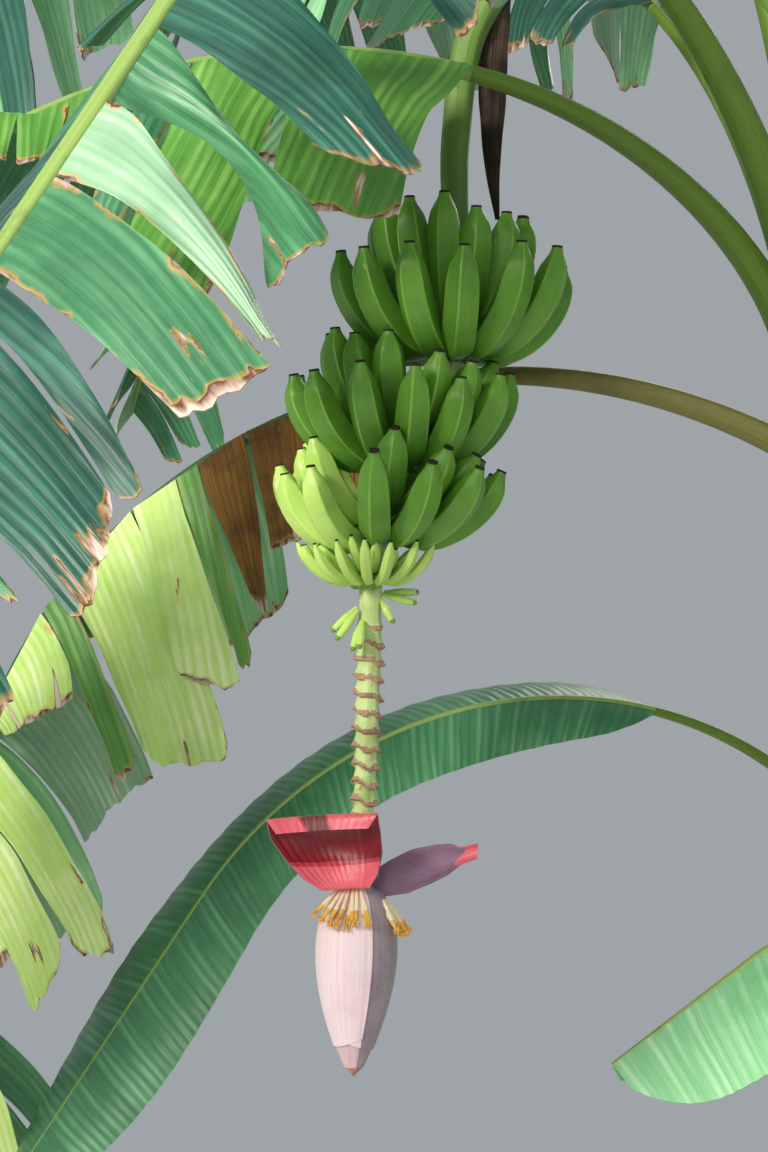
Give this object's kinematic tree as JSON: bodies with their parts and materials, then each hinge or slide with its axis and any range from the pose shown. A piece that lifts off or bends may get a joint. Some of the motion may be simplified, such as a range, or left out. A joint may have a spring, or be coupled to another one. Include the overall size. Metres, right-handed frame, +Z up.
{
  "type": "banana plant",
  "caption": "Fruiting banana plant with a leaning false stem, torn arching fronds, a hanging bunch of green fruit that ends in a bud, and young suckers.",
  "frame": {"origin": "middle of the flat cut under the main stem, at ground level", "axes": "+Z up; the bunch hangs towards -X; -Y faces the viewer of the reference view"},
  "size_m": [3.0212, 3.024, 2.8428],
  "materials": {
    "sheath": "satin",
    "stalk": "satin",
    "fruit": "satin",
    "petiole": "satin",
    "blade": "waxy satin",
    "bud": "waxy matte",
    "bract": "satin",
    "flower": "matte",
    "dried": "matte"
  },
  "bodies": {
    "root": {"stem": "sheath", "sucker_a_stem": "sheath", "sucker_b_stem": "sheath", "stalk_rising": "stalk", "stalk_hanging": "stalk", "stalk_bunch": "stalk", "hand_1": "fruit", "hand_2": "fruit", "hand_3": "fruit", "hand_4": "fruit", "hand_5": "fruit", "male_bud": "bud", "bract_left": "bract", "bract_right": "bract", "male_flowers_left": "flower", "male_flowers_right": "flower", "dried_sheath": "dried", "frond_1_petiole": "petiole", "frond_2_petiole": "petiole", "frond_3_petiole": "petiole", "frond_4_petiole": "petiole", "frond_5_petiole": "petiole", "frond_6_petiole": "petiole", "frond_7_petiole": "petiole", "frond_8_petiole": "petiole", "frond_9_petiole": "petiole", "sucker_a_leaf_1_petiole": "petiole", "sucker_a_leaf_2_petiole": "petiole", "sucker_a_leaf_3_petiole": "petiole", "sucker_b_leaf_1_petiole": "petiole", "sucker_b_leaf_2_petiole": "petiole", "sucker_b_leaf_3_petiole": "petiole", "frond_1_blade_inner": "blade", "frond_1_blade_outer": "blade", "frond_2_blade_inner": "blade", "frond_2_blade_outer": "blade", "frond_3_blade_inner": "blade", "frond_3_blade_outer": "blade", "frond_4_blade_inner": "blade", "frond_4_blade_outer": "blade", "frond_5_blade_inner": "blade", "frond_5_blade_outer": "blade", "frond_6_blade_inner": "blade", "frond_6_blade_outer": "blade", "frond_7_blade_inner": "blade", "frond_7_blade_outer": "blade", "frond_8_blade_inner": "blade", "frond_8_blade_outer": "blade", "frond_9_blade_inner": "blade", "frond_9_blade_outer": "blade", "sucker_a_leaf_1_inner": "blade", "sucker_a_leaf_1_outer": "blade", "sucker_a_leaf_2_blade": "blade", "sucker_a_leaf_3_blade": "blade", "sucker_b_leaf_1_blade": "blade", "sucker_b_leaf_2_blade": "blade", "sucker_b_leaf_3_blade": "blade"}
  },
  "joints": []
}
